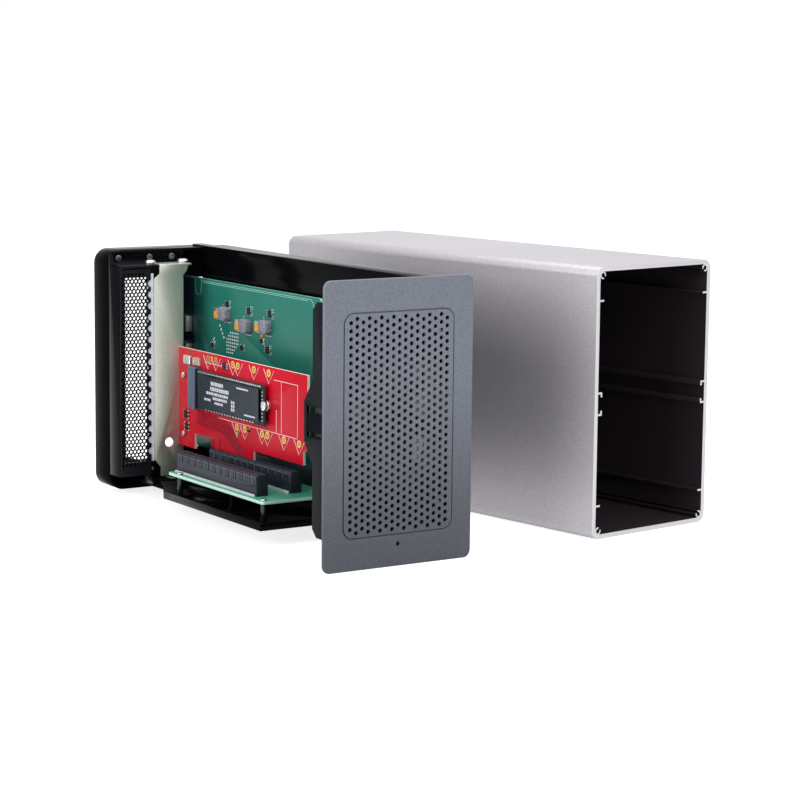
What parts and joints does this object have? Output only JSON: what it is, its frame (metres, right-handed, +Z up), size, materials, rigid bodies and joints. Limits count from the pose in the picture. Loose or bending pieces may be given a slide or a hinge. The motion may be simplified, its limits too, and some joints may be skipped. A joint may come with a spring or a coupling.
{
  "type": "pcie expansion enclosure",
  "caption": "Opened expansion enclosure: upright drawer with perforated bezel, fan, card slots, adapter card with drive and bracket, and its extruded aluminium sleeve standing beside it",
  "frame": {"origin": "On the floor under the middle of the front bezel, at half its thickness, where the drawer stands", "axes": "+Z up, -Y out of the bezel's front, +Y along the drawer to its rear cap, +X across the drawer towards the sleeve"},
  "size_m": [0.2493, 0.2655, 0.142],
  "materials": {
    "sleeve": "bead blasted, clear anodised",
    "bezel": "fine powder coat, dark blue grey",
    "black_plastic": "moulded black",
    "gloss_black": "gloss black",
    "clear": "clear moulding",
    "black_sheet": "semi-gloss black paint",
    "steel": "bright nickel plate",
    "screw": "zinc plate",
    "dark_screw": "black oxide",
    "mint_board": "solder mask, light green",
    "green_board": "solder mask, green",
    "red_board": "solder mask, crimson",
    "black_board": "solder mask, black",
    "connector": "moulded, blue black",
    "chip": "moulded, charcoal",
    "inductor": "pressed iron powder, grey",
    "capacitor": "moulded, amber"
  },
  "bodies": {
    "enclosure": {"outer_sleeve": "sleeve", "front_bezel": "bezel", "bezel_screws": "dark_screw", "light_pipe": "clear", "led_board": "green_board", "fan_shroud": "black_plastic", "fan_frame": "black_plastic", "fan_screws": "dark_screw", "chassis": "black_sheet", "chassis_screws": "screw", "rear_cap": "gloss_black", "slot_cage": "black_sheet", "cage_screws": "screw", "slot_cover": "black_sheet", "card_bracket": "steel", "bracket_screws": "screw", "slot_board": "mint_board", "slot_connector_near": "connector", "slot_connector_far": "connector", "board_standoffs": "steel", "board_screws": "screw", "adapter_card": "red_board", "adapter_chips": "chip", "m2_socket": "connector", "ssd_module": "black_board", "ssd_chips": "chip", "ssd_screw": "screw", "main_board": "green_board", "main_board_standoffs": "steel", "main_board_screws": "screw", "board_link": "connector", "power_inductors": "inductor", "power_capacitors": "capacitor", "controller_chips": "chip", "data_ports": "steel", "power_jack": "black_plastic"},
    "fan_wheel": {"fan_rotor": "black_plastic"}
  },
  "joints": [
    {"name": "fan_spin", "type": "hinge", "parent": "enclosure", "child": "fan_wheel", "pos_m": [0, 0.012, 0.071], "axis": [0, 1, 0], "continuous": true}
  ]
}
